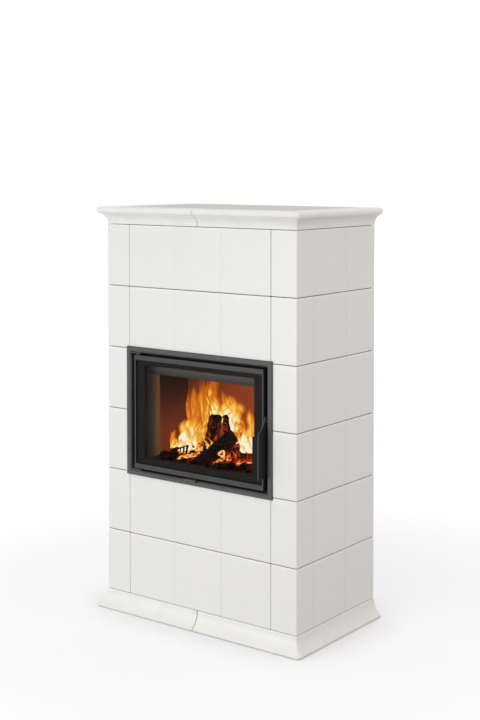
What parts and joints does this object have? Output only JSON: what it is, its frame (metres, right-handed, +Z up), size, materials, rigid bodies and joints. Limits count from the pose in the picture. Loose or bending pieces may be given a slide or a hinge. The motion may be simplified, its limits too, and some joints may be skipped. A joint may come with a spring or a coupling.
{
  "type": "tiled stove",
  "caption": "Tall free-standing stove of glazed tile courses with moulded plinth and cornice, a hinged glass fire door with a lift handle, an air slider and a rear flue outlet.",
  "frame": {"origin": "on the floor, at the middle of the outline seen from above", "axes": "+Z up, the door faces -Y, +X is to the right when facing the door"},
  "size_m": [0.89, 0.551, 1.443],
  "materials": {
    "glazed_tile": "gloss",
    "cast_top": "matte",
    "black_paint": "matte",
    "bare_steel": "satin",
    "fire_glass": "gloss",
    "rope_seal": "matte",
    "heat_tinted_steel": "satin",
    "fireclay": "matte",
    "vermiculite": "matte",
    "cast_grate": "matte",
    "zinc_sheet": "satin",
    "storage_stone": "matte",
    "firewood": "matte",
    "ember_ash": "matte"
  },
  "bodies": {
    "stove": {"air_box": "zinc_sheet", "air_duct": "zinc_sheet", "air_spigot": "zinc_sheet", "air_wash_deflector": "heat_tinted_steel", "ash_pan": "zinc_sheet", "back_panel": "zinc_sheet", "baffle": "vermiculite", "base_frame": "black_paint", "corner_tile_left_1": "glazed_tile", "corner_tile_left_2": "glazed_tile", "corner_tile_left_3": "glazed_tile", "corner_tile_left_4": "glazed_tile", "corner_tile_left_5": "glazed_tile", "corner_tile_left_6": "glazed_tile", "corner_tile_right_1": "glazed_tile", "corner_tile_right_2": "glazed_tile", "corner_tile_right_3": "glazed_tile", "corner_tile_right_4": "glazed_tile", "corner_tile_right_5": "glazed_tile", "corner_tile_right_6": "glazed_tile", "cornice_left": "glazed_tile", "cornice_right": "glazed_tile", "ember_bed": "ember_ash", "firebox_casing": "black_paint", "firebox_front": "black_paint", "firewood_base": "firewood", "firewood_cross": "firewood", "firewood_upright": "firewood", "flue_bend": "black_paint", "flue_collar": "black_paint", "flue_pipes": "black_paint", "front_tile_1": "glazed_tile", "front_tile_2": "glazed_tile", "front_tile_5": "glazed_tile", "front_tile_6": "glazed_tile", "grate": "cast_grate", "hinges": "bare_steel", "insert_stand": "black_paint", "latch_pin": "bare_steel", "levelling_feet": "bare_steel", "lining_back": "fireclay", "lining_floor": "fireclay", "lining_fronts": "fireclay", "lining_sides": "fireclay", "panel_screws": "bare_steel", "plinth_left": "glazed_tile", "plinth_right": "glazed_tile", "smoke_hood": "black_paint", "storage_blocks": "storage_stone", "surround_frame": "black_paint", "tile_straps": "bare_steel", "top_slabs": "cast_top"},
    "door": {"door_frame": "black_paint", "door_glass": "fire_glass", "glass_gasket": "rope_seal", "glass_retainer": "black_paint", "door_gasket": "rope_seal", "handle_pivot": "bare_steel"},
    "handle": {"door_handle": "black_paint"},
    "slider": {"air_slider": "black_paint"}
  },
  "joints": [
    {"name": "door_hinge", "type": "hinge", "parent": "stove", "child": "door", "pos_m": [-0.274, -0.2245, 0.721], "axis": [0, 0, -1], "range_deg": [0, 100]},
    {"name": "handle_lift", "type": "hinge", "parent": "door", "child": "handle", "pos_m": [0.2895, -0.2275, 0.753], "axis": [-1, 0, 0], "range_deg": [0, 30]},
    {"name": "air_slide", "type": "slide", "parent": "stove", "child": "slider", "axis": [1, 0, 0], "range_m": [-0.018, 0.062]}
  ]
}
